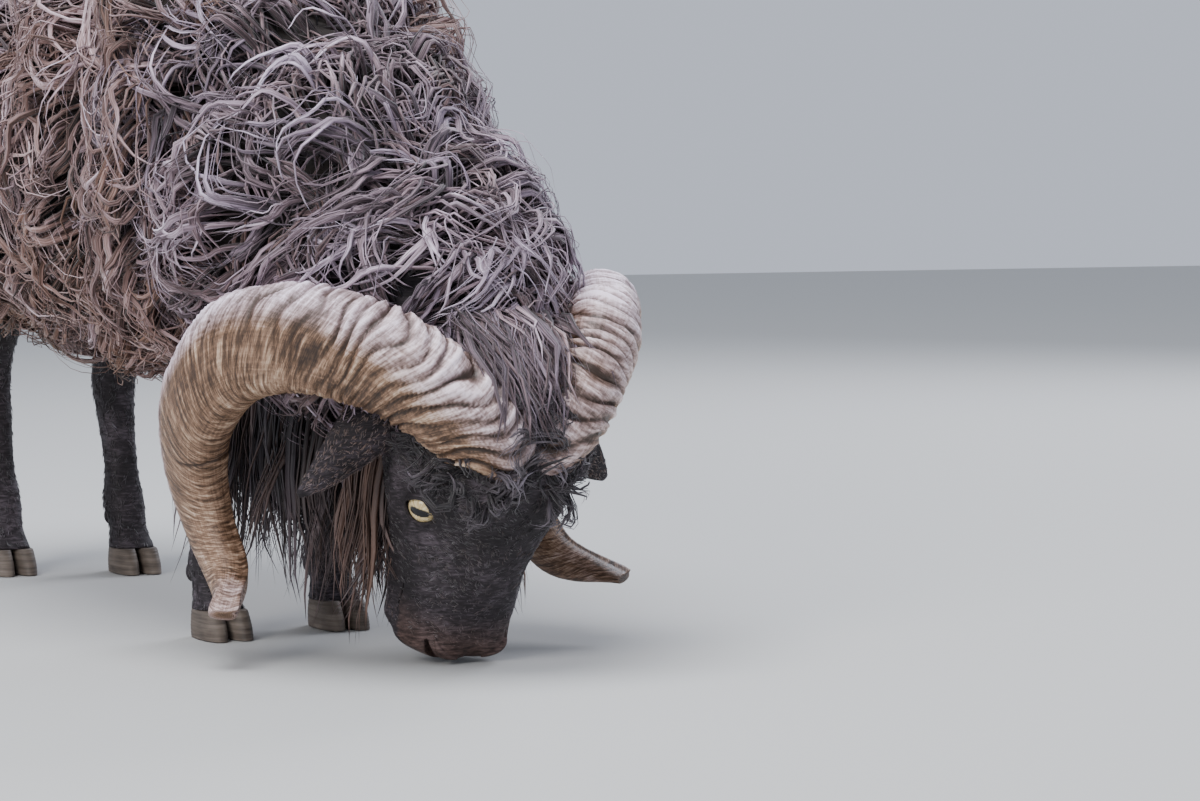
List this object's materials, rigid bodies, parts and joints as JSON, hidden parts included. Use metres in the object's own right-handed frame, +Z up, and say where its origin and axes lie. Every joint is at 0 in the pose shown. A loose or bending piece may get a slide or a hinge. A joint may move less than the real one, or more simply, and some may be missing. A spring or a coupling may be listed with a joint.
{
  "type": "ouessant sheep",
  "caption": "Still, life-size Ouessant ram standing with its head down to graze, curled horns, dark open fleece, four cloven feet.",
  "frame": {"origin": "on the floor, under the middle of the ram's box", "axes": "+Z up, the ram faces -Y, its left side is +X"},
  "size_m": [0.3839, 0.895, 0.5159],
  "materials": {
    "fleece": "dark, wavy, greasy wool with paler purple-grey ends",
    "face": "short flat near-black hair with a cool sheen, brown at the muzzle",
    "ear": "short hair outside, thin brown-pink skin inside",
    "eye": "wet, amber iris with a dark level slot for a pupil",
    "horn": "ridged tan-grey horn, satin",
    "leg": "short flat near-black hair",
    "hoof": "dull grey-tan hoof horn"
  },
  "bodies": {
    "root": {"torso": "fleece", "neck": "fleece", "tail": "fleece", "head": "face", "ear_left": "ear", "ear_right": "ear", "eye_left": "eye", "eye_right": "eye", "horn_left": "horn", "horn_right": "horn", "leg_fore_left": "leg", "leg_fore_right": "leg", "leg_hind_left": "leg", "leg_hind_right": "leg", "hoof_fore_left_left": "hoof", "hoof_fore_left_right": "hoof", "hoof_fore_right_left": "hoof", "hoof_fore_right_right": "hoof", "hoof_hind_left_left": "hoof", "hoof_hind_left_right": "hoof", "hoof_hind_right_left": "hoof", "hoof_hind_right_right": "hoof"}
  },
  "joints": []
}
